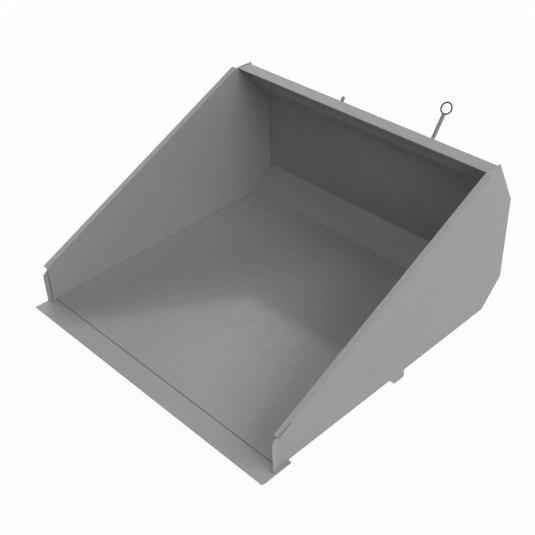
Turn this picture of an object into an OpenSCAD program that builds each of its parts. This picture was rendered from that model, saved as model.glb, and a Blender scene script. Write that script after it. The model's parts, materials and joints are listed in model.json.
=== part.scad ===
// Snow bucket for a forklift: a sheet steel bucket that tips on a fork carriage
// Millimetres, Z up, front (cutting edge) toward -Y
// Origin: on the ground, mid width, straight below the tipping axis

/* [Bucket] */
// Width of the bucket over the outer faces of its side plates
bucket_w = 1500; // [1300:10:1700]
// Thickness of the shell and of the side plates
sheet_t = 4; // [3:0.5:6]
// Floor length from the blade seam to the lower rear bend
floor_l = 1308; // [1220:4:1400]
// Leg of the lower rear bend, the same backward and upward
low_bend = 119; // [90:1:140]
// Height of the upper end of the upright back above the floor
back_h = 537; // [480:1:600]
// Forward leg of the upper rear bend
top_bend_in = 123; // [90:1:140]
// Upward leg of the upper rear bend
top_bend_up = 120; // [90:1:140]
// Height of the upright lip above the upper rear bend
lip_h = 98; // [70:1:120]
// Depth of the level strip along the top
strip_d = 81; // [50:1:100]
// Inner radius of every bend of the sheets
bend_r = 5; // [3:0.5:8]

/* [Side plates] */
// How far a side plate reaches ahead of the blade seam
plate_ahead = 15; // [10:1:30]
// Height of the low end of the slanted edge above the floor
slant_low = 181.6; // [140:0.2:230]
// How far the plate's top stands above the top strip
plate_proud = 4; // [2:0.5:8]
// How far the plate's top corner lies behind the upright lip
plate_behind = 4; // [2:0.5:8]
// Outward reach of the flange beyond the plate's outer face
flange_out = 26; // [16:1:34]
// Height of the mitred gap below the flange's low end
notch_h = 9; // [6:1:16]

/* [Edge strips] */
// Reach of an edge strip ahead of the side plate
strip_ahead = 21; // [14:1:28]
// How far an edge strip laps the side plate
strip_lap = 12; // [8:1:20]
// Thickness of an edge strip
strip_t = 4; // [3:0.5:5]
// Outward bend of an edge strip
strip_flare = 12; // [4:1:20]

/* [Cutting edge] */
// Depth of the cutting edge from front to back
blade_d = 156; // [130:2:200]
// Thickness of the cutting edge
blade_t = 8; // [6:0.5:12]
// How far the cutting edge reaches ahead of the floor seam
blade_ahead = 103; // [80:1:120]
// How far the cutting edge passes each side plate
blade_side = 15; // [8:1:20]

/* [Underside beam] */
// Depth of the beam along its top
beam_d = 97; // [80:1:120]
// Height of the beam
beam_h = 41; // [34:1:46]
// How far the beam's front face leans backward
beam_slant = 34.5; // [20:0.5:40]
// Distance from the floor seam to the beam's rear face
beam_rear = 751; // [700:1:780]

/* [Tipping axis] */
// Distance of the tipping axis behind the floor seam
pivot_back = 702; // [680:1:720]
// Height of the tipping axis above the ground
pivot_z = 80; // [72:1:84]
// Diameter of the pivot pins
pin_d = 25; // [20:1:30]
// Running clearance around a pin, on the radius
pin_clear = 0.05; // [0.02:0.01:0.1]
// Radius of the round ends of lugs and ears
lug_r = 28; // [26:1:31]
// Thickness of one lug plate
lug_t = 12; // [8:1:16]
// Thickness of one ear plate
ear_t = 24; // [16:1:30]
// Side clearance between lug, bush and ear
side_clear = 0.5; // [0.3:0.1:1]

/* [Carriage] */
// Height of the bucket floor's top face above the ground
floor_z = 160; // [156:1:172]
// Distance of a fork pocket's middle from the middle of the width
fork_x = 280; // [260:5:300]
// Outer width of a fork pocket
pocket_w = 170; // [150:5:180]
// Outer height of a fork pocket
pocket_h = 80; // [70:1:84]
// Wall of a fork pocket
pocket_t = 5; // [4:0.5:8]
// Length of a pocket ahead of the tipping axis
pocket_front = 90; // [70:5:140]
// Side of the square rear tube under the bucket floor
rest_h = 60; // [50:1:62]
// Width of the front tube between the pockets
cross_d = 80; // [60:5:100]
// Height of the front tube between the pockets
cross_h = 60; // [40:5:70]
// Wall of the tubes other than the pockets
tube_t = 4; // [3:0.5:6]
// Depth of an upright from front to back
upright_d = 40; // [30:2:50]
// Width of an upright
upright_w = 60; // [50:2:80]
// Height of the latch shaft above the top of an upright
bearing_h = 26; // [20:1:60]

/* [Latch] */
// Diameter of the lever rod and the horn
rod_d = 18; // [14:1:20]
// Diameter of the latch shaft
shaft_d = 22; // [22:1:26]
// Backward lean of the lever rod
lever_lean = 35.9; // [20:0.1:45]
// Height of the latch shaft above the upper end of the upright back
latch_up = 69; // [60:1:75]
// Length of the lever rod from the shaft's middle to the ring
lever_l = 155; // [120:1:180]
// Length of the horn from the shaft's middle to its round tip
horn_l = 62; // [40:1:70]
// Outer diameter of the pull ring
ring_d = 62; // [50:1:70]
// Diameter of the pull ring's wire
ring_wire = 7; // [5:0.5:9]
// Thickness of a latch hook
hook_t = 10; // [8:1:14]
// Diameter of the catch bars on the bucket
catch_d = 16; // [12:1:20]
// Distance of the catch bars' middle from the shaft's middle
catch_reach = 40; // [37:1:46]
// Depth of the flat closing weight ahead of the latch shaft
weight_w = 50; // [40:1:56]
// Thickness of the flat closing weight
weight_t = 15; // [10:1:18]

/* [Fork clamps] */
// Thread diameter of the fork clamp screws
clamp_d = 16; // [12:2:20]
// Length of a clamp screw above the pocket's inner face
clamp_l = 52; // [50:1:56]

/* [Hidden] */

$fn = 64;
cut = 1; // overrun of every cut

// Places that follow from the sizes above
half_w = bucket_w / 2;
inner_half = half_w - sheet_t;
back_y = floor_l + low_bend;
back_out = back_y + sheet_t;
lip_y = back_y - top_bend_in;
lip_z = back_h + top_bend_up;
top_z = lip_z + lip_h;
plate_top = top_z + plate_proud;
plate_rear = lip_y + sheet_t + plate_behind;
strip_front = lip_y + sheet_t - strip_d;
plate_level = 15; // level part of the plate's top ahead of the top strip
slant_top_y = strip_front - plate_level;
slant_low_y = -plate_ahead;
slant_dy = slant_top_y - slant_low_y;
slant_dz = plate_top - slant_low;
slant_a = atan2(slant_dz, slant_dy);
slant_l = norm([slant_dy, slant_dz]);
blade_top = -sheet_t;
floor_under = floor_z - sheet_t;

// Turns bucket places (from the seam, from the floor's top) into the part's frame
module bucket_frame() { translate([0, -pivot_back, floor_z]) children(); }

// Extrudes an outline given as (y, z) along X, from x0 over a width w
module along_x(x0, w) {
    translate([x0, 0, 0])
        rotate([90, 0, 90])
            linear_extrude(w) children();
}

// Rounds corner b of the path a, b, c with radius r in n steps
function unit(v) = v / norm(v);
function arc_points(a, b, c, r, n) =
    let (u = unit(a - b), w = unit(c - b),
         half = acos(u * w) / 2,
         tangent = r / tan(half),
         centre = b + unit(u + w) * (r / sin(half)),
         p = b + u * tangent,
         q = b + w * tangent,
         s = unit(p - centre),
         e = unit(q - centre),
         turn = acos(s * e))
    [for (i = [0:n]) centre + r * (s * sin(turn * (n - i) / n) + e * sin(turn * i / n)) / sin(turn)];

// Corner of a sheet's far face, at the thickness t to the right of the path a, b, c
function right_of(v) = [v[1], -v[0]];
function far_corner(a, b, c, t) =
    let (n1 = right_of(unit(b - a)), n2 = right_of(unit(c - b)), m = unit(n1 + n2))
    b + m * (t / (m * n1));
function far_end(a, b, at, t) = at + right_of(unit(b - a)) * t;

// Closed outline of a bent sheet: near face p with radii near, far face outside
bend_steps = 6;
function sheet_outline(p, t, r) =
    let (last = len(p) - 1,
         far = [for (i = [0:last])
             i == 0 ? far_end(p[0], p[1], p[0], t) :
             i == last ? far_end(p[last - 1], p[last], p[last], t) :
             far_corner(p[i - 1], p[i], p[i + 1], t)])
    concat(
        [p[0]],
        [for (i = [1:last - 1]) each bend_near(p[i - 1], p[i], p[i + 1], t, r)],
        [p[last], far[last]],
        [for (i = [last - 1:-1:1]) each bend_far(far[i + 1], far[i], far[i - 1], p[i - 1], p[i], p[i + 1], t, r)],
        [far[0]]);
// A left turn has its centre on the near side
function turns_left(a, b, c) = (b - a)[0] * (c - b)[1] - (b - a)[1] * (c - b)[0] > 0;
function bend_near(a, b, c, t, r) = arc_points(a, b, c, turns_left(a, b, c) ? r : r + t, bend_steps);
function bend_far(a, b, c, na, nb, nc, t, r) =
    arc_points(a, b, c, turns_left(na, nb, nc) ? r + t : r, bend_steps);

// Rectangular tube along Y, its wall inside the outer sizes
module tube_y(x, y0, y1, z0, w, h, t) {
    translate([x - w / 2, y0, z0]) difference() {
        cube([w, y1 - y0, h]);
        translate([t, -cut, t]) cube([w - 2 * t, y1 - y0 + 2 * cut, h - 2 * t]);
    }
}
// Rectangular tube along X
module tube_x(x0, x1, y, z0, d, h, t) {
    translate([x0, y - d / 2, z0]) difference() {
        cube([x1 - x0, d, h]);
        translate([-cut, t, t]) cube([x1 - x0 + 2 * cut, d - 2 * t, h - 2 * t]);
    }
}
// Round bar along X
module bar_x(x0, x1, y, z, r) {
    translate([x0, y, z]) rotate([0, 90, 0]) cylinder(h = x1 - x0, r = r);
}

// Shell: floor, two rear bends, upright back, lip and level top strip in one bent sheet
shell_path = [[0, 0], [floor_l, 0], [back_y, low_bend], [back_y, back_h],
              [lip_y, lip_z], [lip_y, top_z - sheet_t], [strip_front, top_z - sheet_t]];
module shell() {
    color("gray") bucket_frame()
        along_x(-inner_half, 2 * inner_half)
            polygon(sheet_outline(shell_path, sheet_t, bend_r));
}

// Side plate with its slanted edge flange, drawn for the side given by s
plate_outline = [[-plate_ahead, -sheet_t], [floor_l, -sheet_t], [back_out, low_bend],
                 [back_out, back_h], [plate_rear, plate_top], [slant_top_y, plate_top],
                 [slant_low_y, slant_low], [slant_low_y, slant_low - notch_h]];
module side_plate(s) {
    flange_w = sheet_t + flange_out;
    bucket_frame() {
        along_x(s > 0 ? inner_half : -half_w, sheet_t) polygon(plate_outline);
        translate([s > 0 ? inner_half : -inner_half - flange_w, slant_low_y, slant_low])
            rotate([slant_a, 0, 0])
                translate([0, 0, -sheet_t])
                    cube([flange_w, slant_l, sheet_t]);
    }
}
module side_plate_left() { color("dimgray") side_plate(-1); }
module side_plate_right() { color("dimgray") side_plate(1); }

// Edge strip: lapped on the side plate's outer face, bent outward ahead of it
strip_top = slant_low - notch_h - strip_ahead - strip_ahead / 4;
module edge_strip(s) {
    tip_out = strip_ahead * tan(strip_flare);
    tip_h = strip_top + strip_ahead;
    bucket_frame() mirror([s > 0 ? 0 : 1, 0, 0]) intersection() {
        translate([half_w, -plate_ahead, blade_top]) linear_extrude(tip_h - blade_top)
            polygon([[0, 0], [tip_out, -strip_ahead], [tip_out + strip_t, -strip_ahead],
                     [strip_t, 0], [strip_t, strip_lap], [0, strip_lap]]);
        along_x(half_w - cut, tip_out + strip_t + 2 * cut)
            polygon([[-plate_ahead - strip_ahead - cut, blade_top - cut],
                     [-plate_ahead - strip_ahead - cut, strip_top - cut],
                     [-plate_ahead - strip_ahead, strip_top],
                     [-plate_ahead, tip_h], [-plate_ahead + strip_lap + cut, tip_h],
                     [-plate_ahead + strip_lap + cut, blade_top - cut]]);
    }
}
module edge_strip_left() { color("slategray") edge_strip(-1); }
module edge_strip_right() { color("slategray") edge_strip(1); }

// Cutting edge: flat bar under the floor's front, its lip bevelled from below
lip_bevel_d = blade_t * 2;
lip_face = blade_t / 3;
module cutting_edge() {
    half_blade = half_w + blade_side;
    color("darkgray") bucket_frame()
        along_x(-half_blade, 2 * half_blade)
            polygon([[-blade_ahead, blade_top], [-blade_ahead, blade_top - lip_face],
                     [-blade_ahead + lip_bevel_d, blade_top - blade_t],
                     [blade_d - blade_ahead, blade_top - blade_t],
                     [blade_d - blade_ahead, blade_top]]);
}

// Underside beam: folded hat under the floor with a closing plate at each end
beam_front = beam_rear - beam_d;
beam_low = blade_top - beam_h;
module underside_beam() {
    wall = sheet_t;
    wall_top = wall * beam_d / (beam_d - beam_slant);
    top_front = [beam_front, blade_top];
    top_rear = [beam_rear, blade_top];
    low_rear = [beam_rear, beam_low];
    low_front = [beam_front + beam_slant, beam_low];
    in_top_front = [beam_front + wall_top, blade_top];
    in_low_front = [beam_front + beam_slant + wall / 2, beam_low + wall];
    in_low_rear = [beam_rear - wall, beam_low + wall];
    in_top_rear = [beam_rear - wall, blade_top];
    full = concat([top_front, top_rear],
                  arc_points(top_rear, low_rear, low_front, bend_r + wall, bend_steps),
                  arc_points(low_rear, low_front, top_front, bend_r + wall, bend_steps));
    inside = concat([in_top_rear + [0, cut], in_top_front + [0, cut], in_top_front],
                    arc_points(in_top_front, in_low_front, in_low_rear, bend_r, bend_steps),
                    arc_points(in_low_front, in_low_rear, in_top_rear, bend_r, bend_steps));
    color("steelblue") bucket_frame() difference() {
        along_x(-half_w, bucket_w) polygon(full);
        along_x(-half_w + wall, bucket_w - 2 * wall)
            polygon(inside);
    }
}

// Fork pockets with the inner faces where the forks slide
upright_gap = 12; // clear way between the bucket's back and an upright
pocket_rear = back_out - pivot_back + upright_gap + upright_d;
module pocket(x) {
    difference() {
        tube_y(x, -pocket_front, pocket_rear, 0, pocket_w, pocket_h, pocket_t);
        translate([x, clamp_y, pocket_h - pocket_t - cut])
            cylinder(h = pocket_t + 2 * cut, r = clamp_d / 2 + shaft_clear);
    }
}
module pocket_left() { color("darkorange") pocket(-fork_x); }
module pocket_right() { color("darkorange") pocket(fork_x); }

// Front tube between the pockets, standing on the ground below the tipping axis
pocket_in = fork_x - pocket_w / 2;
pocket_out = fork_x + pocket_w / 2;
module front_cross_tube() {
    color("orange") tube_x(-pocket_in, pocket_in, 0, 0, cross_d, cross_h, tube_t);
}

// Rear tube over the pockets, carrying the rest pads
rest_ahead = 200; // from the uprights' front face to the rear tube's middle
rest_y = pocket_rear - upright_d - rest_ahead;
rest_over = 35; // length of the rear tube past each pocket
rest_half = pocket_out + rest_over;
module rear_cross_tube() {
    color("orange") tube_x(-rest_half, rest_half, rest_y, pocket_h, rest_h, rest_h, tube_t);
}

// Four rubber pads between the rear tube and the bucket floor
pad_l = 120; // length of one pad
pad_d = rest_h - 2 * tube_t;
pad_t = floor_under - pocket_h - rest_h;
module rest_pads() {
    color("black") for (x = [-fork_x, -fork_x / 3, fork_x / 3, fork_x])
        translate([x - pad_l / 2, rest_y - pad_d / 2, pocket_h + rest_h])
            cube([pad_l, pad_d, pad_t]);
}

// Pivot brackets: two lug plates on a foot plate, welded to the pocket's outer wall
foot_t = 12; // thickness of a bracket's foot plate
bush_t = 4; // thickness of one side bush
lug_gap = ear_t + 2 * bush_t + 2 * side_clear;
pin_room = 26; // from the pocket to the inner lug, room for a split pin
lug_in = pocket_out + pin_room;
lug_out = lug_in + 2 * lug_t + lug_gap;
module lug(x) {
    translate([x, 0, 0]) {
        translate([0, -lug_r, foot_t]) cube([lug_t, 2 * lug_r, pivot_z - foot_t]);
        translate([0, 0, pivot_z]) rotate([0, 90, 0]) cylinder(h = lug_t, r = lug_r);
    }
}
module pivot_bracket() {
    difference() {
        union() {
            translate([pocket_out, -lug_r - foot_t, 0])
                cube([lug_out - pocket_out, 2 * lug_r + 2 * foot_t, foot_t]);
            lug(lug_in);
            lug(lug_out - lug_t);
        }
        bar_x(pocket_out, lug_out + cut, 0, pivot_z, pin_d / 2 + pin_clear);
    }
}
module pivot_brackets() {
    color("goldenrod") {
        pivot_bracket();
        mirror([1, 0, 0]) pivot_bracket();
    }
}

// Pivot ears under the beam, with a bush on each side
ear_x = lug_in + lug_t + side_clear + bush_t;
ear_top = floor_z + beam_low;
module pivot_ear() {
    translate([ear_x, 0, 0]) difference() {
        union() {
            translate([0, -lug_r, pivot_z]) cube([ear_t, 2 * lug_r, ear_top - pivot_z]);
            translate([0, 0, pivot_z]) rotate([0, 90, 0]) cylinder(h = ear_t, r = lug_r);
        }
        bar_x(-cut, ear_t + cut, 0, pivot_z, pin_d / 2 + pin_clear);
    }
}
module pivot_ears() {
    color("royalblue") {
        intersection() {
            pivot_ear();
            ear_limit();
        }
        mirror([1, 0, 0]) intersection() {
            pivot_ear();
            ear_limit();
        }
    }
}
// The ear's front corner is cut to the beam's flat underside
module ear_limit() {
    y0 = beam_front + beam_slant - pivot_back;
    y1 = beam_rear - pivot_back;
    along_x(0, half_w)
        polygon([[-lug_r - cut, pivot_z - lug_r - cut], [y1 + cut, pivot_z - lug_r - cut],
                 [y1 + cut, ear_top], [y0, ear_top],
                 [-lug_r - cut, pivot_z + lug_r / 4]]);
}
module ear_bush(x) {
    difference() {
        bar_x(x, x + bush_t, 0, pivot_z, pin_d / 2 + bush_t * 2);
        bar_x(x - cut, x + bush_t + cut, 0, pivot_z, pin_d / 2 + pin_clear);
    }
}
module ear_bushes() {
    color("tan") for (s = [0, 1]) mirror([s, 0, 0]) {
        ear_bush(ear_x - bush_t);
        ear_bush(ear_x + ear_t);
    }
}

// Pivot pins with a head outside and a split pin inside
head_t = 8; // thickness of a pin head
pin_tail = 18; // length of pin past the inner lug
split_d = 5; // diameter of a split pin
split_ring_share = 1.2; // radius of its ring as a share of the diameter
split_wire_share = 0.4; // radius of the ring's wire as a share of the diameter
module pivot_pin() {
    difference() {
        union() {
            bar_x(lug_in - pin_tail, lug_out, 0, pivot_z, pin_d / 2);
            bar_x(lug_out, lug_out + head_t, 0, pivot_z, pin_d / 2 + head_t);
        }
        translate([lug_in - split_d, 0, pivot_z - pin_d])
            cylinder(h = 2 * pin_d, r = split_d / 2);
    }
}
module pivot_pins() {
    color("silver") {
        pivot_pin();
        mirror([1, 0, 0]) pivot_pin();
    }
}
module split_pin() {
    translate([lug_in - split_d, 0, pivot_z]) {
        translate([0, 0, -pin_d / 2 - 2 * split_d]) cylinder(h = pin_d + 3 * split_d, r = split_d / 2);
        translate([0, 0, pin_d / 2 + 2 * split_d]) rotate([90, 0, 90])
            rotate_extrude() translate([split_d * split_ring_share, 0])
                circle(r = split_d * split_wire_share, $fn = 24);
    }
}
module split_pins() {
    color("whitesmoke") for (s = [0, 1]) mirror([s, 0, 0]) split_pin();
}

// Uprights behind the bucket, standing on the pockets
upright_y = pocket_rear - upright_d / 2;
latch_h = floor_z + back_h + latch_up;
upright_top = latch_h - bearing_h;
upright_h = upright_top - pocket_h;
module upright(x) {
    translate([x - upright_w / 2, pocket_rear - upright_d, pocket_h]) difference() {
        cube([upright_w, upright_d, upright_h]);
        translate([tube_t, tube_t, -cut])
            cube([upright_w - 2 * tube_t, upright_d - 2 * tube_t, upright_h - tube_t + cut]);
    }
}
module upright_left() { color("orangered") upright(-fork_x); }
module upright_right() { color("orangered") upright(fork_x); }

// Tie tube between the uprights
tie_h = 60; // height of the tie tube
tie_share = 0.6; // share of the upright's height where the tie sits
module portal_tie() {
    x = fork_x - upright_w / 2;
    color("tomato") tube_x(-x, x, upright_y, pocket_h + upright_h * tie_share, upright_d, tie_h, tube_t);
}

// Gussets between pocket and upright, under the bucket's lower rear bend
gusset_l = 110; // leg of a gusset
gusset_t = 8; // thickness of a gusset
module foot_gussets() {
    y = pocket_rear - upright_d;
    color("sandybrown") for (x = [-fork_x, fork_x])
        along_x(x - gusset_t / 2, gusset_t)
            polygon([[y, pocket_h], [y, pocket_h + gusset_l], [y - gusset_l, pocket_h]]);
}

// Bearing plates for the latch shaft, standing on the uprights
latch_gap = 29.4; // from the bucket's back to the shaft's middle
latch_y = back_out - pivot_back + latch_gap;
bearing_t = 10; // thickness of a bearing plate
bearing_r = shaft_d / 2 + 7; // round end of a bearing plate
shaft_clear = 0.05; // running clearance of the shaft, on the radius
bearing_xs = [upright_w / 2 - bearing_t, -upright_w / 2];
module bearing_plate(x) {
    difference() {
        union() {
            translate([x, latch_y - bearing_r, upright_top])
                cube([bearing_t, 2 * bearing_r, latch_h - upright_top]);
            bar_x(x, x + bearing_t, latch_y, latch_h, bearing_r);
        }
        bar_x(x - cut, x + bearing_t + cut, latch_y, latch_h, shaft_d / 2 + shaft_clear);
    }
}
module shaft_bearings() {
    color("gold") for (s = [-1, 1]) for (dx = bearing_xs) bearing_plate(s * fork_x + dx);
}

// Latch shaft across both uprights, with a collar outside each bearing plate
shaft_over = 30; // length of shaft past the outer bearing plates
shaft_half = fork_x + upright_w / 2 + shaft_over;
module latch_shaft() { color("silver") bar_x(-shaft_half, shaft_half, latch_y, latch_h, shaft_d / 2); }
collar_t = 8; // width of a shaft collar
module shaft_collars() {
    x = fork_x + upright_w / 2 + side_clear;
    color("lightgray") for (s = [0, 1]) mirror([s, 0, 0]) difference() {
        bar_x(x, x + collar_t, latch_y, latch_h, shaft_d / 2 + collar_t);
        bar_x(x - cut, x + collar_t + cut, latch_y, latch_h, shaft_d / 2);
    }
}

// Place of the catch bars: on the tipping circle, where it runs straight away from the shaft
shaft_at = [latch_y, latch_h];
pivot_at = [0, pivot_z];
shaft_reach = norm(shaft_at - pivot_at);
catch_a = atan2(latch_h - pivot_z, latch_y) + asin(catch_reach / shaft_reach);
catch_at = pivot_at + sqrt(shaft_reach * shaft_reach - catch_reach * catch_reach) * [cos(catch_a), sin(catch_a)];
path_a = catch_a + 90;

// Catch bars behind the upper rear bend, each between two catch plates
catch_plate_t = 8; // thickness of a catch plate
hook_side = 3; // clear way beside a hook
catch_half = hook_t / 2 + hook_side;
catch_r = catch_d / 2 + 4; // round end of a catch plate
hook_off = 22; // from the upright to the hook's middle
hook_x = fork_x - upright_w / 2 - hook_off;
catch_low_share = 0.15; // where a catch plate begins along the upper rear bend
catch_high_share = 0.7; // where it ends
slope = [-top_bend_in, top_bend_up];
slope_out = unit([top_bend_up, top_bend_in]);
function on_slope(share) =
    [back_y - pivot_back, back_h + floor_z] + share * slope + sheet_t * slope_out;
module catch_plate(x) {
    t = unit(slope) * catch_r;
    difference() {
        union() {
            along_x(x, catch_plate_t)
                polygon([on_slope(catch_low_share), catch_at - t, catch_at + t, on_slope(catch_high_share)]);
            bar_x(x, x + catch_plate_t, catch_at[0], catch_at[1], catch_r);
        }
        bar_x(x - cut, x + catch_plate_t + cut, catch_at[0], catch_at[1], catch_d / 2);
    }
}
module catch_plates() {
    color("cornflowerblue") for (s = [-1, 1]) {
        catch_plate(s * hook_x - catch_half - catch_plate_t);
        catch_plate(s * hook_x + catch_half);
    }
}
module catch_bars() {
    color("lightsteelblue") for (s = [-1, 1])
        bar_x(s * hook_x - catch_half - catch_plate_t, s * hook_x + catch_half + catch_plate_t,
              catch_at[0], catch_at[1], catch_d / 2);
}

// Hooks on the shaft: a hub, an arm behind the catch bar and a nose over it
hub_r = shaft_d / 2 + 7; // round end of a hook
mouth_clear = 1; // gap around the catch bar inside the mouth
mouth_r = catch_d / 2 + mouth_clear;
arm_w = 10; // width of a hook's arm
nose_t = 12; // length of a hook's nose past the catch bar
nose_u = catch_reach + mouth_r;
module from_shaft() { translate([0, latch_y, latch_h]) rotate([path_a, 0, 0]) children(); }
module hook(s) {
    x = s * hook_x - hook_t / 2;
    from_shaft() difference() {
        union() {
            bar_x(x, x + hook_t, 0, 0, hub_r);
            along_x(x, hook_t)
                polygon([[0, -hub_r], [nose_u + nose_t, -mouth_r - arm_w],
                         [nose_u + nose_t, catch_d / 2], [nose_u, catch_d / 2],
                         [nose_u, -mouth_r], [0, -mouth_r]]);
        }
        bar_x(x - cut, x + hook_t + cut, 0, 0, shaft_d / 2);
    }
}
module hook_left() { color("crimson") hook(-1); }
module hook_right() { color("crimson") hook(1); }

// Flat weight welded along the front of the shaft, which lets the latch fall shut
weight_side = 12; // clear way between the weight and a catch plate
module latch_weight() {
    half = hook_x - catch_half - catch_plate_t - weight_side;
    color("firebrick") difference() {
        translate([-half, latch_y - shaft_d / 2 - weight_w, latch_h - weight_t / 2])
            cube([2 * half, weight_w + shaft_d / 2, weight_t]);
        bar_x(-half - cut, half + cut, latch_y, latch_h, shaft_d / 2);
    }
}

// Lever rod with its pull ring on the right, horn on the left
module along_lever(x) {
    translate([x, latch_y, latch_h]) rotate([-lever_lean, 0, 0]) children();
}
ring_mid = ring_d / 2 - ring_wire / 2;
ring_sink = 1; // how far the ring's wire is let into the rod's end
module lever_rod() {
    color("lightgray") difference() {
        along_lever(fork_x) cylinder(h = lever_l, r = rod_d / 2);
        bar_x(fork_x - rod_d, fork_x + rod_d, latch_y, latch_h, shaft_d / 2);
        pull_ring();
    }
}
module pull_ring() {
    along_lever(fork_x)
        translate([0, 0, lever_l + ring_d / 2 - ring_sink])
            rotate([90, 0, 0])
                rotate_extrude() translate([ring_mid, 0]) circle(r = ring_wire / 2, $fn = 32);
}
module lever_ring() { color("darkslategray") pull_ring(); }
tip_steps = 8;
horn_tip = [for (i = [0:tip_steps])
    [rod_d / 2 * cos(90 * i / tip_steps), horn_l - rod_d / 2 + rod_d / 2 * sin(90 * i / tip_steps)]];
module horn() {
    color("lightgray") difference() {
        along_lever(-fork_x) rotate_extrude() polygon(concat([[0, 0], [rod_d / 2, 0]], horn_tip));
        bar_x(-fork_x - rod_d, -fork_x + rod_d, latch_y, latch_h, shaft_d / 2);
    }
}

// Fork clamp screws in nuts welded on the pockets, behind the rear tube
clamp_ahead = 120; // from the rear tube's middle to a clamp screw
clamp_y = rest_y - clamp_ahead;
nut_t_share = 0.8; // height of a nut as a share of the thread
nut_r_share = 0.92; // radius of a nut's corners as a share of the thread
nut_t = clamp_d * nut_t_share;
nut_r = clamp_d * nut_r_share;
module clamp_nut(x) {
    translate([x, clamp_y, pocket_h]) difference() {
        cylinder(h = nut_t, r = nut_r, $fn = 6);
        translate([0, 0, -cut]) cylinder(h = nut_t + 2 * cut, r = clamp_d / 2 + shaft_clear);
    }
}
module clamp_nuts() { color("khaki") for (x = [-fork_x, fork_x]) clamp_nut(x); }
module clamp_screw(x) {
    translate([x, clamp_y, pocket_h - pocket_t]) {
        cylinder(h = clamp_l, r = clamp_d / 2);
        translate([-clamp_bar / 2, 0, clamp_l - clamp_d / 2]) rotate([0, 90, 0])
            cylinder(h = clamp_bar, r = clamp_d / 4);
    }
}
clamp_bar = 90; // length of a clamp screw's cross bar
module clamp_screw_left() { color("mediumpurple") clamp_screw(-fork_x); }
module clamp_screw_right() { color("mediumpurple") clamp_screw(fork_x); }

pocket_left();
pocket_right();
front_cross_tube();
rear_cross_tube();
rest_pads();
pivot_brackets();
upright_left();
upright_right();
portal_tie();
foot_gussets();
shaft_bearings();
clamp_nuts();
shell();
side_plate_left();
side_plate_right();
edge_strip_left();
edge_strip_right();
cutting_edge();
underside_beam();
pivot_ears();
ear_bushes();
pivot_pins();
split_pins();
catch_plates();
catch_bars();
latch_shaft();
shaft_collars();
hook_left();
hook_right();
latch_weight();
lever_rod();
lever_ring();
horn();
clamp_screw_left();
clamp_screw_right();
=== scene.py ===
import bpy
import bmesh
import json
import math
from mathutils import Matrix, Vector


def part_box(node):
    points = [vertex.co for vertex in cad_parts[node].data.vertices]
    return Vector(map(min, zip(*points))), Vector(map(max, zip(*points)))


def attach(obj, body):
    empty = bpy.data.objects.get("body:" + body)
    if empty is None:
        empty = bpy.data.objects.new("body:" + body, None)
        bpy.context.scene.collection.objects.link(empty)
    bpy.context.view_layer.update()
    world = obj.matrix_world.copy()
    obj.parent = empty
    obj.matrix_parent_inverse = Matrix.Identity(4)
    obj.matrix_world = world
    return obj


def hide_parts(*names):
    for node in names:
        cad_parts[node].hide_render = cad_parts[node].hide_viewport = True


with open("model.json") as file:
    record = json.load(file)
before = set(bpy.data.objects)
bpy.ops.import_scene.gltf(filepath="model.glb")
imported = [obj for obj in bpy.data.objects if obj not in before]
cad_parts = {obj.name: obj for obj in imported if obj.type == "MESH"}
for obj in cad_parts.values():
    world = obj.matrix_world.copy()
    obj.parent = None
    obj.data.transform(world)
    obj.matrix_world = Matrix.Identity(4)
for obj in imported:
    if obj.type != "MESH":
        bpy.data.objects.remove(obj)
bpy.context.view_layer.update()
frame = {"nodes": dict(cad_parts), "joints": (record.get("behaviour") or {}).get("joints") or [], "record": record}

nodes = frame["nodes"]

# Camera, solved from the photograph's straight edges: place in metres, image sizes in pixels
AZIMUTH, ELEVATION, ROLL = math.radians(46.20), math.radians(36.24), math.radians(-1.79)
CAMERA_AT = Vector((2.5087, -2.3326, 2.8855))
IMAGE_SIDE = 535
FOCAL_LENGTH = 933.3
IMAGE_CENTRE = (282.7, 261.0)
SENSOR = 36  # camera sensor in millimetres
VIEW_END = 60  # furthest distance that the camera shows


def make_camera():
    level = math.cos(ELEVATION)
    back = Vector((math.sin(AZIMUTH) * level, -math.cos(AZIMUTH) * level, math.sin(ELEVATION)))
    right = (-back).cross(Vector((0, 0, 1))).normalized()
    up = right.cross(-back)
    axis_x = right * math.cos(ROLL) + up * math.sin(ROLL)
    axis_y = -right * math.sin(ROLL) + up * math.cos(ROLL)
    data = bpy.data.cameras.new("view_camera")
    data.sensor_width = SENSOR
    data.lens = SENSOR * FOCAL_LENGTH / IMAGE_SIDE
    data.shift_x = 0.5 - IMAGE_CENTRE[0] / IMAGE_SIDE
    data.shift_y = IMAGE_CENTRE[1] / IMAGE_SIDE - 0.5
    data.clip_end = VIEW_END
    camera = bpy.data.objects.new("view_camera", data)
    bpy.context.scene.collection.objects.link(camera)
    turn = Matrix((axis_x, axis_y, back)).transposed().to_4x4()
    camera.matrix_world = Matrix.Translation(CAMERA_AT) @ turn
    return camera


bpy.context.scene.camera = make_camera()
bpy.context.scene.view_settings.view_transform = "Standard"


# Materials: noise scales per metre, bump depths in metres
BROAD_SCALE, PEEL_SCALE, CHIP_SCALE, GRAIN_SCALE = 1.7, 26.0, 90.0, 420.0
MOTTLE_SCALE, SCRATCH_SCALE = 60.0, 300.0
GRAIN_DEPTH, SCRATCH_DEPTH = 0.0006, 0.0003
SPECK = 0.03  # tone change of the orange peel
CHIP_SHARE = 0.35  # how much of a chipped edge shows
CHIP_LIGHT = 1.25  # tone of a chip as a share of the paint's
MOTTLE = 0.15  # tone change of bare metal


def new_material(name):
    material = bpy.data.materials.new(name)
    material.use_nodes = True
    material.node_tree.nodes.clear()
    return material, material.node_tree


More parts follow.
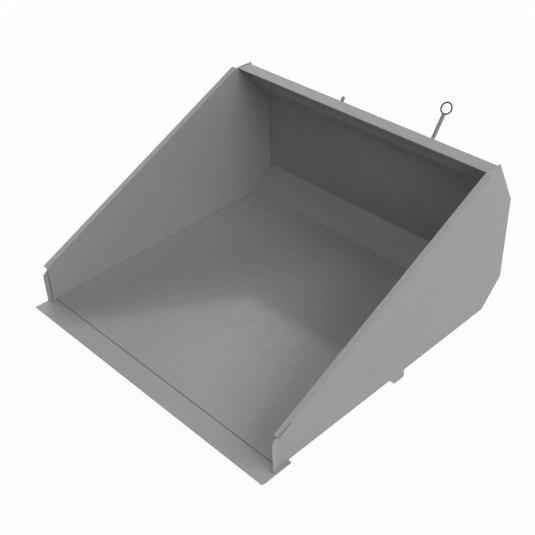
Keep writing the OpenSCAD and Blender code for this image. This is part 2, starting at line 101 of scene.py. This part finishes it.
def add(tree, kind, inputs, **settings):
    """A shader node; each input is a socket to link or a plain value."""
    node = tree.nodes.new(kind)
    for key, value in settings.items():
        setattr(node, key, value)
    for key, value in inputs.items():
        if isinstance(value, bpy.types.NodeSocket):
            tree.links.new(value, node.inputs[key])
        else:
            node.inputs[key].default_value = value
    return node


def grey(value):
    return (value, value, value, 1)


def noise(tree, coord, scale, detail, rough):
    inputs = {"Vector": coord, "Scale": scale, "Detail": detail, "Roughness": rough}
    return add(tree, "ShaderNodeTexNoise", inputs).outputs["Fac"]


def ramp(tree, fac, *stops):
    """Grey steps between two stops, each a place and a value."""
    node = add(tree, "ShaderNodeValToRGB", {"Fac": fac})
    for element, (place, value) in zip(node.color_ramp.elements, stops):
        element.position = place
        element.color = grey(value)
    return node.outputs["Color"]


def mix(tree, fac, first, second):
    return add(tree, "ShaderNodeMix", {0: fac, 6: first, 7: second}, data_type="RGBA").outputs[2]


def surface(tree, colour, rough, height, strength, depth, fixed):
    """The material's shader with its bump; fixed holds the values that are the same all over."""
    bump = add(tree, "ShaderNodeBump", {"Height": height, "Strength": strength, "Distance": depth})
    inputs = {"Base Color": colour, "Roughness": rough, "Normal": bump.outputs["Normal"], **fixed}
    shader = add(tree, "ShaderNodeBsdfPrincipled", inputs)
    add(tree, "ShaderNodeOutputMaterial", {"Surface": shader.outputs["BSDF"]})


def metal_paint(name, base, dark, light, rough=0.5, bump=0.05, scale=1.0, spec=0.35, dust=0.0):
    """Sprayed paint: broad tone drift, fine orange peel, worn lighter edges, and upward faces painted lighter as a
    painted highlight.
    """
    material, tree = new_material(name)
    place = add(tree, "ShaderNodeTexCoord", {})
    coord = place.outputs["Object"]
    broad = noise(tree, coord, BROAD_SCALE * scale, 2.0, 0.5)
    fine = noise(tree, coord, PEEL_SCALE * scale, 4.0, 0.6)
    grain = noise(tree, coord, GRAIN_SCALE, 2.0, 0.5)
    tone = ramp(tree, broad, (0.3, dark), (0.7, light))
    speck = ramp(tree, fine, (0.35, base * (1 - SPECK)), (0.65, base * (1 + SPECK)))
    colour = mix(tree, 0.5, tone, speck)

    # Chipped paint along the edges
    pointed = add(tree, "ShaderNodeNewGeometry", {}).outputs["Pointiness"]
    edge = ramp(tree, pointed, (0.52, 0.0), (0.62, 1.0))
    chips = ramp(tree, noise(tree, coord, CHIP_SCALE, 3.0, 0.7), (0.5, 0.0), (0.7, CHIP_SHARE))
    wear = add(tree, "ShaderNodeMath", {0: edge, 1: chips}, operation="MULTIPLY").outputs[0]
    colour = mix(tree, wear, colour, grey(base * CHIP_LIGHT))

    # Painted highlight: faces that look upward are painted lighter, standing in for light falling on them
    if dust:
        height = add(tree, "ShaderNodeSeparateXYZ", {0: place.outputs["Normal"]}).outputs["Z"]
        upward = ramp(tree, height, (0.80, 0.0), (0.88, 1.0))
        colour = mix(tree, upward, colour, grey(base * (1 + dust)))
    gloss = ramp(tree, fine, (0.3, rough - 0.05), (0.7, rough + 0.05))
    surface(tree, colour, gloss, grain, bump, GRAIN_DEPTH, {"Specular IOR Level": spec})
    return material


def plain_finish(name, base, rough=0.4, metallic=0.6):
    """Bare metal or rubber: mottled tone and fine scratches."""
    material, tree = new_material(name)
    coord = add(tree, "ShaderNodeTexCoord", {}).outputs["Object"]
    fine = noise(tree, coord, MOTTLE_SCALE, 4.0, 0.6)
    scratch = noise(tree, coord, SCRATCH_SCALE, 2.0, 0.5)
    colour = ramp(tree, fine, (0.3, base * (1 - MOTTLE)), (0.7, base * (1 + MOTTLE)))
    gloss = ramp(tree, scratch, (0.3, rough - 0.08), (0.7, rough + 0.08))
    surface(tree, colour, gloss, scratch, 0.1, SCRATCH_DEPTH, {"Metallic": metallic})
    return material


GREY = 0.33  # the paint's mean tone


def grey_paint(name, base, dark, light, **finish):
    """Paint whose tones are given as shares of the mean tone."""
    return metal_paint(name, GREY * base, GREY * dark, GREY * light, **finish)


paint = grey_paint("grey_paint", 1.0, 0.97, 1.03, rough=0.38, spec=0.2)
# The right side plate's paint carries a painted highlight on its upward faces, mostly its flange
plate_paint_lit_top = grey_paint("plate_paint_lit_top", 0.98, 0.95, 1.01, rough=0.38, spec=0.2, dust=0.19)
frame_paint = grey_paint("frame_paint", 0.95, 0.92, 1.0, rough=0.45, spec=0.28)
blade_paint = grey_paint("blade_paint", 1.02, 0.98, 1.05, rough=0.45, spec=0.28)
bead_paint = grey_paint("bead_paint", 0.9, 0.84, 0.95, rough=0.5, bump=0.12, scale=4.0, spec=0.28)
seam_paint = grey_paint("seam_paint", 0.72, 0.62, 0.78, rough=0.55, bump=0.12, scale=4.0, spec=0.15)
zinc = plain_finish("zinc_steel", 0.45)
rod_paint = grey_paint("rod_paint", 0.82, 0.76, 0.88, rough=0.42, scale=3.0, spec=0.06)
dark_steel = metal_paint("dark_steel", 0.042, 0.034, 0.050, rough=0.5, scale=6.0, spec=0.08)
rubber = plain_finish("rubber_black", 0.03, rough=0.75, metallic=0.0)
gap_shadow = plain_finish("gap_shadow", 0.05, rough=0.8, metallic=0.0)

LOOK = {"rest_pads": rubber, "lever_ring": dark_steel, "lever_rod": rod_paint, "horn": rod_paint,
        "latch_shaft": rod_paint, "pivot_pins": zinc, "split_pins": zinc, "ear_bushes": zinc,
        "clamp_screw_left": zinc, "clamp_screw_right": zinc, "clamp_nuts": zinc,
        "cutting_edge": blade_paint, "side_plate_right": plate_paint_lit_top}

# Rounded edges of the nodes, in millimetres
EDGE_ROUND = 0.7
EDGE_ROUNDS = {"shell": 0.5, "side_plate_left": 0.4, "side_plate_right": 0.4, "cutting_edge": 0.6,
               "edge_strip_left": 0.6, "edge_strip_right": 0.6}
MM = 0.001

carrier_nodes = frame["record"]["behaviour"]["bodies"]["carrier"]
for name, obj in nodes.items():
    obj.data.materials.clear()
    obj.data.materials.append(LOOK.get(name, frame_paint if name in carrier_nodes else paint))
    bevel = obj.modifiers.new("soft_edges", "BEVEL")
    bevel.width = EDGE_ROUNDS.get(name, EDGE_ROUND) * MM
    bevel.segments = 2
    bevel.limit_method = "ANGLE"
    bevel.angle_limit = math.radians(35)
    bevel.harden_normals = True


# Places in millimetres, from the frame
def in_mm(place):
    """A place of the frame, to a hundredth of a millimetre."""
    return Vector([round(value / MM, 2) for value in place])


def box_mm(node):
    low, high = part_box(node)
    return in_mm(low), in_mm(high)


def inset(low, high, end):
    """The span from low to high, shortened at both ends."""
    return low + end, high - end


shell_low, shell_high = box_mm("shell")
plate_low, plate_high = box_mm("side_plate_right")
blade_high = box_mm("cutting_edge")[1]
beam_low, beam_high = box_mm("underside_beam")
ears_high = box_mm("pivot_ears")[1]
catch_high = box_mm("catch_plates")[1]
bracket_high = box_mm("pivot_brackets")[1]
pocket_low, pocket_high = box_mm("pocket_right")
front_low, front_high = box_mm("front_cross_tube")
rear_low, rear_high = box_mm("rear_cross_tube")
upright_low, upright_high = box_mm("upright_right")
gusset_low, gusset_high = box_mm("foot_gussets")
tie_low, tie_high = box_mm("portal_tie")
screw_low, screw_high = box_mm("clamp_screw_right")
shaft_at = in_mm(next(j["pos_m"] for j in frame["joints"] if j["name"] == "latch_turn"))

SHEET = 4  # thickness of the shell and the side plates
SLOT = "grey_paint"
seam_y = shell_low.y
floor_z = shell_low.z + SHEET
fork_x = (pocket_low.x + pocket_high.x) / 2


def at_bucket(x, y, z):
    """A place given from the blade's seam and from the floor's top."""
    return Vector((x, y + seam_y, z + floor_z))


# Pieces
def finish_piece(name, points, faces, body, slot, material, smooth=True):
    mesh = bpy.data.meshes.new(name)
    mesh.from_pydata([tuple(point * MM) for point in points], [], faces)
    if smooth:
        mesh.shade_smooth()
    piece = bpy.data.objects.new(name, mesh)
    bpy.context.scene.collection.objects.link(piece)
    shape = bmesh.new()
    shape.from_mesh(mesh)
    bmesh.ops.recalc_face_normals(shape, faces=shape.faces)
    shape.to_mesh(mesh)
    shape.free()
    mesh.materials.append(material)
    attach(piece, body)
    return piece


def tubes_mesh(tubes):
    """Points and faces of tubes that are closed at both ends, each given as its rings of points."""
    points, faces = [], []
    for rings in tubes:
        first = len(points)
        sides = len(rings[0])
        end = first + (len(rings) - 1) * sides
        for ring in rings:
            points += ring
        for row in range(first, end, sides):
            for j in range(sides):
                after = (j + 1) % sides
                faces.append((row + j, row + after, row + sides + after, row + sides + j))
        faces.append(tuple(reversed(range(first, first + sides))))
        faces.append(tuple(range(end, end + sides)))
    return points, faces


# Corner welds, in millimetres and shares of the weld's leg
RING_STEP = 2.0  # distance between two rings of points
RIPPLE = 4.2  # length of one ripple
RIPPLE_SHIFT = 1.7  # shift of the ripples from one bead to the next
BEAD_LOW, BEAD_RISE, BEAD_DRIFT = 0.90, 0.16, 0.05  # lowest size, rise of a ripple, slow drift
DRIFT_RUN, DRIFT_BEAD = 0.05, 9  # how fast the drift goes, per millimetre and over one stretch
BEAD_HOLLOW = 0.20  # hollow of the bead's face
BEAD_SUNK = 0.3  # depth of the bead's root in the corner
FACE_ANGLES = [math.radians(angle) for angle in (0, 22, 45, 68, 90)]


def bead_rings(points, legs_a, legs_b, leg, start):
    """Rings of a rippled corner weld along points; legs a and b point along the two plates."""
    rings = []
    run = start
    last = len(points) - 2
    for k in range(last + 1):
        p, q = points[k], points[k + 1]
        length = (q - p).length
        steps = max(2, int(length / RING_STEP))
        for i in range(steps + 1 if k == last else steps):
            t = i / steps
            corner = p.lerp(q, t)
            a = legs_a[k].lerp(legs_a[k + 1], t).normalized()
            b = legs_b[k].lerp(legs_b[k + 1], t).normalized()
            saw = ((run + t * length) / RIPPLE) % 1.0
            drift = BEAD_DRIFT * math.sin(run * DRIFT_RUN + t * DRIFT_BEAD)
            size = leg * (BEAD_LOW + BEAD_RISE * math.sqrt(1 - saw) + drift)
            ring = [corner - (a + b) * BEAD_SUNK]
            for angle in FACE_ANGLES:
                reach = size * (1 - BEAD_HOLLOW * math.sin(2 * angle))
                ring.append(corner + (a * math.cos(angle) + b * math.sin(angle)) * reach)
            rings.append(ring)
        run += length
    return rings


def straight(start, end, a, b):
    """A straight bead; a and b point along its two plates."""
    return [Vector(start), Vector(end)], [Vector(a)] * 2, [Vector(b)] * 2


def bead_x(span, y, z, side, rise=1):
    return straight((span[0], y, z), (span[1], y, z), (0, side, 0), (0, 0, rise))


def bead_y(x, span, z, side, rise=1):
    return straight((x, span[0], z), (x, span[1], z), (side, 0, 0), (0, 0, rise))


def bead_z(x, y, span, side_x, side_y):
    return straight((x, y, span[0]), (x, y, span[1]), (side_x, 0, 0), (0, side_y, 0))


def mirrored(beads):
    """The same beads on both sides of the mid width."""
    flip = Matrix.Diagonal((-1, 1, 1))
    return beads + [tuple([flip @ v for v in row] for row in bead) for bead in beads]


def weld(name, body, beads, leg, material=bead_paint):
    tubes = [bead_rings(*bead, leg, k * RIPPLE_SHIFT) for k, bead in enumerate(beads)]
    return finish_piece(name, *tubes_mesh(tubes), body, SLOT, material)


# Inside of the shell from the blade's seam to the top strip: distance from the seam, height above the floor
INSIDE = [(6, 0), (1303, 0), (1313, 5), (1422, 114), (1427, 124), (1427, 533), (1423, 541), (1308, 653),
          (1304, 661), (1304, 748)]


def shell_bead(side):
    """The bead between the shell's inside and one side plate."""
    points = [at_bucket(side * shell_high.x, y, z) for y, z in INSIDE]
    inward = []
    for k in range(len(points)):
        along = (points[min(len(points) - 1, k + 1)] - points[max(0, k - 1)]).normalized()
        inward.append(Vector((0, -along.z, along.y)))
    return points, [Vector((-side, 0, 0))] * len(points), inward


weld("weld_shell_sides", "bucket", [shell_bead(-1), shell_bead(1)], 2.2, seam_paint)
weld("weld_blade_seam", "bucket",
     [bead_x(inset(shell_low.x, shell_high.x, 2), seam_y, shell_low.z, -1)], 2.6, seam_paint)
weld("weld_blade_sides", "bucket", mirrored([
    bead_y(shell_high.x + SHEET, (seam_y, blade_high.y - 2), shell_low.z, 1),
    bead_y(shell_high.x, (plate_low.y + 1, seam_y - 2), shell_low.z, -1)]), 4.0)

# The beam's front bead leans back under the floor
beam_span = inset(beam_low.x, beam_high.x, 5)
weld("weld_beam", "bucket", [
    straight((beam_span[0], beam_low.y, beam_high.z), (beam_span[1], beam_low.y, beam_high.z),
             (0, -1, 0), (0, 0.3, -1)),
    bead_x(beam_span, beam_high.y, beam_high.z, 1, -1)], 4.0)

EAR_T = 24  # thickness of a pivot ear
EAR_FRONT = -9  # front end of an ear's top, from the pivot axis
ear_x = (ears_high.x - EAR_T, ears_high.x)
ear_y = (EAR_FRONT, ears_high.y)
weld("weld_ears", "bucket", mirrored([
    bead_y(ear_x[0], ear_y, ears_high.z, -1, -1),
    bead_y(ear_x[1], ear_y, ears_high.z, 1, -1),
    bead_x(ear_x, ears_high.y, ears_high.z, 1, -1)]), 4.5)

# Catch plates on the upper rear bend, two for each hook
BEND_Z = 697  # where the upright back ends
SLOPE = Vector((0, -123, 120))  # from there to the lip
CATCH_PLATE_T = 8
CATCH_PLATE_STEP = 24  # from one plate to the next
CATCH_SHARES = (0.16, 0.69)  # both ends of a bead along the slope
slope_out = Vector((0, SLOPE.z, -SLOPE.y)).normalized()
slope_foot = Vector((0, shell_high.y - SHEET, BEND_Z)) + SHEET * slope_out
catch_beads = []
for inner_x in (catch_high.x - CATCH_PLATE_T - CATCH_PLATE_STEP, catch_high.x - CATCH_PLATE_T):
    for x, side in ((inner_x, -1), (inner_x + CATCH_PLATE_T, 1)):
        ends = [slope_foot + Vector((x, 0, 0)) + SLOPE * share for share in CATCH_SHARES]
        catch_beads.append(straight(*ends, (side, 0, 0), slope_out))
weld("weld_catch_plates", "bucket", mirrored(catch_beads), 3.5)

BRACKET_T = 12  # thickness of a bracket's plates and of its base
BRACKET_HALF = 28  # half the depth of a bracket's upright plates at the base
BRACKET_INNER = 391  # inner face of a bracket's inner plate
bracket_y = inset(-BRACKET_HALF, BRACKET_HALF, 2)
inner_plate = (BRACKET_INNER, BRACKET_INNER + BRACKET_T)
outer_plate = (bracket_high.x - BRACKET_T, bracket_high.x)
weld("weld_brackets", "carrier", mirrored(
    [bead_y(inner_plate[0], bracket_y, BRACKET_T, -1),
     bead_y(inner_plate[1], bracket_y, BRACKET_T, 1),
     bead_y(outer_plate[0], bracket_y, BRACKET_T, -1)]
    + [bead_x(plate, side * BRACKET_HALF, BRACKET_T, side)
       for plate in (inner_plate, outer_plate) for side in (-1, 1)]
    + [bead_y(pocket_high.x, inset(front_low.y, front_high.y, 2), BRACKET_T, 1)]), 4.0)

# Carriage: cross tubes, uprights with their gussets, tie and bearing plates
front_z = (front_low.z + 5, front_high.z - 3)
weld("weld_front_tube", "carrier", mirrored([
    bead_y(front_high.x, inset(front_low.y, front_high.y, 3), front_high.z, -1),
    bead_z(front_high.x, front_low.y, front_z, -1, -1),
    bead_z(front_high.x, front_high.y, front_z, -1, 1)]), 4.0)
pocket_span = inset(pocket_low.x, pocket_high.x, 3)
weld("weld_rear_tube", "carrier", mirrored([
    bead_x(pocket_span, rear_low.y, pocket_high.z, -1),
    bead_x(pocket_span, rear_high.y, pocket_high.z, 1)]), 4.0)

GUSSET_T = 8
gusset_x = (gusset_high.x - GUSSET_T, gusset_high.x)
upright_foot = inset(upright_low.y, upright_high.y, 1)
weld("weld_uprights", "carrier", mirrored([
    bead_x((upright_low.x + 1, gusset_x[0] - 1), upright_low.y, pocket_high.z, -1),
    bead_x((gusset_x[1] + 1, upright_high.x - 1), upright_low.y, pocket_high.z, -1),
    bead_y(upright_low.x, upright_foot, pocket_high.z, -1),
    bead_y(upright_high.x, upright_foot, pocket_high.z, 1)]), 4.0)
gusset_y = inset(gusset_low.y, gusset_high.y, 5)
gusset_z = (gusset_low.z + 6, gusset_high.z - 5)
weld("weld_gussets", "carrier", mirrored([
    bead_y(gusset_x[0], gusset_y, pocket_high.z, -1),
    bead_y(gusset_x[1], gusset_y, pocket_high.z, 1),
    bead_z(gusset_x[0], upright_low.y, gusset_z, -1, -1),
    bead_z(gusset_x[1], upright_low.y, gusset_z, 1, -1)]), 3.5)
tie_y = inset(tie_low.y, tie_high.y, 2)
weld("weld_tie", "carrier", mirrored([
    bead_y(upright_low.x, tie_y, tie_high.z, -1, 1),
    bead_y(upright_low.x, tie_y, tie_low.z, -1, -1)]), 3.5)

BEARING_T = 10  # thickness of a bearing plate
BEARING_BEAD = 31  # length of the bead along a bearing plate's foot
bearing_y = (upright_low.y + 2, upright_low.y + 2 + BEARING_BEAD)
weld("weld_bearings", "carrier", mirrored([
    bead_y(upright_high.x - BEARING_T, bearing_y, upright_high.z, -1),
    bead_y(upright_low.x + BEARING_T, bearing_y, upright_high.z, 1)]), 3.0)

# Ring welds: at the root of the lever rod and of the horn, and under the pull ring
LEVER_LEAN = math.radians(35.9)
ROD_R = 9.0
ROOT_AT = 12.5  # from the shaft's middle to a root weld
RING_AT = 154.6  # from the shaft's middle to the pull ring's weld
RING_WELD_R = 2.6
RING_RIPPLES = 5  # ripples around a ring weld
RING_LOW, RING_RISE = 0.9, 0.12  # its lowest size and the rise of a ripple, as shares of its thickness
RING_OUT, RING_ALONG = 0.45, 0.6  # half its section across and along the bar, as shares of its size
lever_axis = Vector((0, math.sin(LEVER_LEAN), math.cos(LEVER_LEAN)))


def ring_weld(name, x, distance, inner, thick, turns=48, sides=6):
    """A rippled ring of weld around the lever's axis, at a distance from the shaft."""
    middle = shaft_at + Vector((x, 0, 0)) + lever_axis * distance
    u = Vector((1, 0, 0))
    w = lever_axis.cross(u).normalized()
    points, faces = [], []
    for i in range(turns):
        t = 2 * math.pi * i / turns
        out = u * math.cos(t) + w * math.sin(t)
        size = thick * (RING_LOW + RING_RISE * ((i * RING_RIPPLES / turns) % 1.0))
        row, next_row = i * sides, (i + 1) % turns * sides
        for j in range(sides):
            q = 2 * math.pi * j / sides
            reach = inner + size * RING_OUT * math.cos(q)
            points.append(middle + out * reach + lever_axis * size * RING_ALONG * math.sin(q))
            after = (j + 1) % sides
            faces.append((row + j, next_row + j, next_row + after, row + after))
    return finish_piece(name, points, faces, "latch", SLOT, bead_paint)


ring_weld("weld_rod_root", fork_x, ROOT_AT, ROD_R, 3.5)
ring_weld("weld_horn_root", -fork_x, ROOT_AT, ROD_R, 3.5)
ring_weld("weld_ring", fork_x, RING_AT, RING_WELD_R, 3.6)

# Painted shadow lines: each a flat dark ribbon just proud of the sheet, standing in for the shade in a narrow gap
RIBBON_SUNK = 0.3
RIBBON_TIP = 0.35  # width of a ribbon's ends as a share of its width


def shadow_ribbon(name, points, normal, width, rise):
    """A narrow dark strip on the bucket along points, on the face with the given normal: a painted shadow line."""
    rings = []
    last = len(points) - 1
    for k, point in enumerate(points):
        along = (points[min(last, k + 1)] - points[max(0, k - 1)]).normalized()
        side = along.cross(normal).normalized()
        half = width * (RIBBON_TIP if k in (0, last) else 1.0) / 2
        corners = ((-half, -RIBBON_SUNK), (half, -RIBBON_SUNK), (half, rise), (-half, rise))
        rings.append([point + side * across + normal * height for across, height in corners])
    return finish_piece(name, *tubes_mesh([rings]), "bucket", SLOT, gap_shadow, smooth=False)


# Painted shadow: a dark strip on the bent flange near its free edge, at the low end of the right side plate
FRONT_H = 181.6  # height of the slanted edge's low end above the floor
LEVEL_Y = 1213  # from the seam to the slanted edge's upper end
# Points of the painted shadow: place across the width, distance along the slanted edge
SHADOW_PATH = [(764.5, 1.5), (767.5, 2.0), (769.2, 4.0), (770, 8), (770, 24), (770, 48), (770, 70), (770, 74)]
slanted_low = Vector((0, plate_low.y, floor_z + FRONT_H))
slanted_high = Vector((0, seam_y + LEVEL_Y, plate_high.z))
along_slant = (slanted_high - slanted_low).normalized()
flange_up = Vector((0, -along_slant.z, along_slant.y))
shadow_line = [slanted_low + Vector((x, 0, 0)) + along_slant * distance for x, distance in SHADOW_PATH]
shadow_ribbon("flange_gap_shadow", shadow_line, flange_up, 2.4, 0.25)

# Painted shadow along the joint between each side plate's front edge and its edge strip
STRIP_FACE = 750.1  # just outside the side plate
STRIP_JOINT = -16.0  # from the seam to the joint
STRIP_HEIGHTS = (0, 40, 80, 120, 158)  # points of the joint line above the floor
SIDES = ((-1, "left"), (1, "right"))
for side, side_name in SIDES:
    line = [at_bucket(side * STRIP_FACE, STRIP_JOINT, z) for z in STRIP_HEIGHTS]
    shadow_ribbon("strip_joint_shadow_" + side_name, line, Vector((-side, 0, 0)), 2.0, 0.3)

# Fork clamp screws with a cut thread and a round-ended cross bar
CLAMP_R = 8.0
THREAD_PITCH, THREAD_DEPTH = 2.0, 1.1
THREAD_FLANK, THREAD_CREST = 1.3, 0.15  # slope of the flanks, flat at the crest
THREAD_ROW = 0.5  # height of one row of points
HEAD_H = 14  # plain stretch at the screw's top
THREAD_FADE = 2  # run-out of the thread below it
TIP_BEVEL = 1.2
BAR_PROFILE = [(1.6, 45), (3.0, 44.4), (3.8, 43.2), (4, 41.5)]  # radius, distance from the bar's middle


def thread_rings(foot, length, sides=32):
    rings = []
    for row in range(int(length / THREAD_ROW) + 1):
        z = min(length, row * THREAD_ROW)
        fade = max(0.0, min(1.0, (length - HEAD_H - z) / THREAD_FADE, (z + THREAD_ROW) / THREAD_FADE))
        end = max(0.0, TIP_BEVEL - z, TIP_BEVEL - (length - z))
        ring = []
        for i in range(sides):
            t = i / sides
            saw = abs(((z / THREAD_PITCH - t) % 1.0) * 2 - 1)
            cut = THREAD_DEPTH * fade * min(1.0, max(0.0, saw * THREAD_FLANK - THREAD_CREST))
            r = CLAMP_R - cut - end
            ring.append(foot + Vector((r * math.cos(2 * math.pi * t), r * math.sin(2 * math.pi * t), z)))
        rings.append(ring)
    return rings


def bar_rings(middle, sides=24):
    profile = [(r, -x) for r, x in BAR_PROFILE] + list(reversed(BAR_PROFILE))
    turns = [2 * math.pi * i / sides for i in range(sides)]
    return [[middle + Vector((x, r * math.cos(t), r * math.sin(t))) for t in turns] for r, x in profile]


for side, side_name in SIDES:
    foot = Vector((side * fork_x, (screw_low.y + screw_high.y) / 2, screw_low.z))
    length = screw_high.z - screw_low.z
    bar_at = foot + Vector((0, 0, length - CLAMP_R))
    tubes = [thread_rings(foot, length), bar_rings(bar_at)]
    body = "clamp_" + side_name
    screw = finish_piece("threaded_" + body, *tubes_mesh(tubes), body, "zinc_steel", zinc)
    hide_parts("clamp_screw_" + side_name)


# Stage: plain white to the camera and in gloss, with the object's faint shadow on the floor
def seen_white(tree, plain, share):
    """Share of plain white that camera, glossy and transmitted rays see instead of the plain shader."""
    path = add(tree, "ShaderNodeLightPath", {})
    seen = path.outputs["Is Camera Ray"]
    for ray in ("Is Glossy Ray", "Is Transmission Ray"):
        seen = add(tree, "ShaderNodeMath", {0: seen, 1: path.outputs[ray]}, operation="MAXIMUM").outputs[0]
    part = add(tree, "ShaderNodeMath", {0: seen, 1: share}, operation="MULTIPLY").outputs[0]
    kind = "ShaderNodeEmission" if share < 1 else "ShaderNodeBackground"
    white = add(tree, kind, {"Color": grey(1), "Strength": 1.0})
    return add(tree, "ShaderNodeMixShader", {0: part, 1: plain.outputs[0], 2: white.outputs[0]})


FLOOR_HALF = 14  # half the floor's width in metres
FLOOR_LOW = 0.002  # how far the floor lies below the object
FLOOR_WHITE = 0.96  # the rest keeps the shadow
AMBIENT = 0.02


def make_floor():
    mesh = bpy.data.meshes.new("floor")
    shape = bmesh.new()
    bmesh.ops.create_grid(shape, x_segments=2, y_segments=2, size=FLOOR_HALF)
    shape.to_mesh(mesh)
    shape.free()
    floor = bpy.data.objects.new("floor", mesh)
    bpy.context.scene.collection.objects.link(floor)
    floor.location.z = -FLOOR_LOW
    material, tree = new_material("floor_white")
    plain = add(tree, "ShaderNodeBsdfDiffuse", {"Color": grey(0.8)})
    shader = seen_white(tree, plain, FLOOR_WHITE)
    add(tree, "ShaderNodeOutputMaterial", {"Surface": shader.outputs[0]})
    mesh.materials.append(material)


def make_world():
    world = bpy.data.worlds.new("world")
    bpy.context.scene.world = world
    world.use_nodes = True
    tree = world.node_tree
    tree.nodes.clear()
    plain = add(tree, "ShaderNodeBackground", {"Color": grey(1), "Strength": AMBIENT})
    add(tree, "ShaderNodeOutputWorld", {"Surface": seen_white(tree, plain, 1.0).outputs[0]})


make_floor()
make_world()

# Lamps around the object: place from its middle and size in metres, power in watts
LIT_CENTRE = Vector((0.0, 0.0, 0.4))
KEY_AT = Vector((-0.90, 0.80, 1.0)).normalized() * 9.6
LAMPS = [("left", (-8.0, -1.6, 4.8), 4.8, 290),
         ("left_high", (-6.4, 0.8, 7.2), 4.8, 41),
         ("right_high", (7.7, 0.5, 5.8), 4.8, 348),
         ("right_front", (7.7, -3.2, 4.8), 4.8, 202),
         ("right_back", (6.4, 5.6, 4.5), 4.8, 79),
         ("overhead", (2.4, -2.4, 8.8), 8.0, 150),
         ("back_fill", (0.5, 8.0, 1.9), 4.0, 195),
         ("left_back_fill", (-8.0, 2.9, 1.2), 4.0, 125),
         ("key_soft", KEY_AT, 4.0, 18),
         ("key", KEY_AT, 0.45, 78)]
for name, at, size, power in LAMPS:
    data = bpy.data.lights.new(name, "AREA")
    data.shape = "SQUARE"
    data.size = size
    data.energy = power
    lamp = bpy.data.objects.new(name, data)
    bpy.context.scene.collection.objects.link(lamp)
    lamp.location = LIT_CENTRE + Vector(at)
    lamp.rotation_euler = (-Vector(at)).to_track_quat("-Z", "Y").to_euler()
